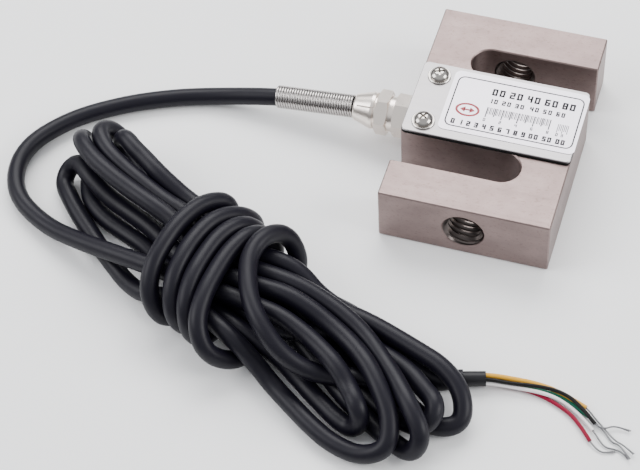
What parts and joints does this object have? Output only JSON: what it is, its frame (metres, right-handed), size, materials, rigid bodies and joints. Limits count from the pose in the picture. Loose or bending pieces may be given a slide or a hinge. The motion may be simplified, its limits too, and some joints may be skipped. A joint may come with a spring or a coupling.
{
  "type": "s-type load cell",
  "caption": "S-shaped tension and compression load cell with a threaded hole in each arm, a cover plate with label, a cable gland with spring guard and a tied hank of cable with bare cores",
  "frame": {"origin": "centre of the S-shaped body's underside, the face with the flush rear cover, as the cell lies on a bench", "axes": "+Y along the load axis, from the arm whose slot opens towards the cable to the other arm; +Z out through the labelled cover; the cable leaves towards -X"},
  "size_m": [0.2035, 0.1567, 0.0226],
  "materials": {
    "body_steel": "nickel-plated, ground",
    "gasket": "matt",
    "cover_aluminium": "satin",
    "label_film": "satin print",
    "screw_steel": "bright",
    "gauge_film": "amber film",
    "board": "matt",
    "resistor": "matt",
    "solder": "bright",
    "enamel_wire": "enamelled copper",
    "core_mixed": "matt",
    "gland_metal": "nickel-plated",
    "spring_steel": "drawn wire",
    "jacket": "satin",
    "sleeve": "heat-shrunk",
    "core_yellow": "satin",
    "core_black": "satin",
    "core_white": "satin",
    "core_red": "satin",
    "core_green": "satin",
    "tinned_copper": "tinned, twisted"
  },
  "bodies": {
    "root": {"load_body": "body_steel", "cover_gasket": "gasket", "cover_plate": "cover_aluminium", "label": "label_film", "cover_screws": "screw_steel", "cover_washers": "screw_steel", "rear_cover": "cover_aluminium", "rear_cover_screws": "screw_steel", "strain_gauges": "gauge_film", "terminal_board": "board", "balance_resistors": "resistor", "solder_terminals": "solder", "gauge_leads": "enamel_wire", "inner_cores": "core_mixed", "gland_body": "gland_metal", "gland_nut": "gland_metal", "gland_collet": "gland_metal", "gland_seal": "gasket", "strain_spring": "spring_steel", "cable_lead": "jacket", "cable_hank": "jacket", "end_sleeve": "sleeve", "core_yellow": "core_yellow", "core_black": "core_black", "core_white": "core_white", "core_red": "core_red", "core_green": "core_green", "strands_yellow": "tinned_copper", "strands_black": "tinned_copper", "strands_green": "tinned_copper", "strands_white": "tinned_copper", "strands_red": "tinned_copper"}
  },
  "joints": []
}
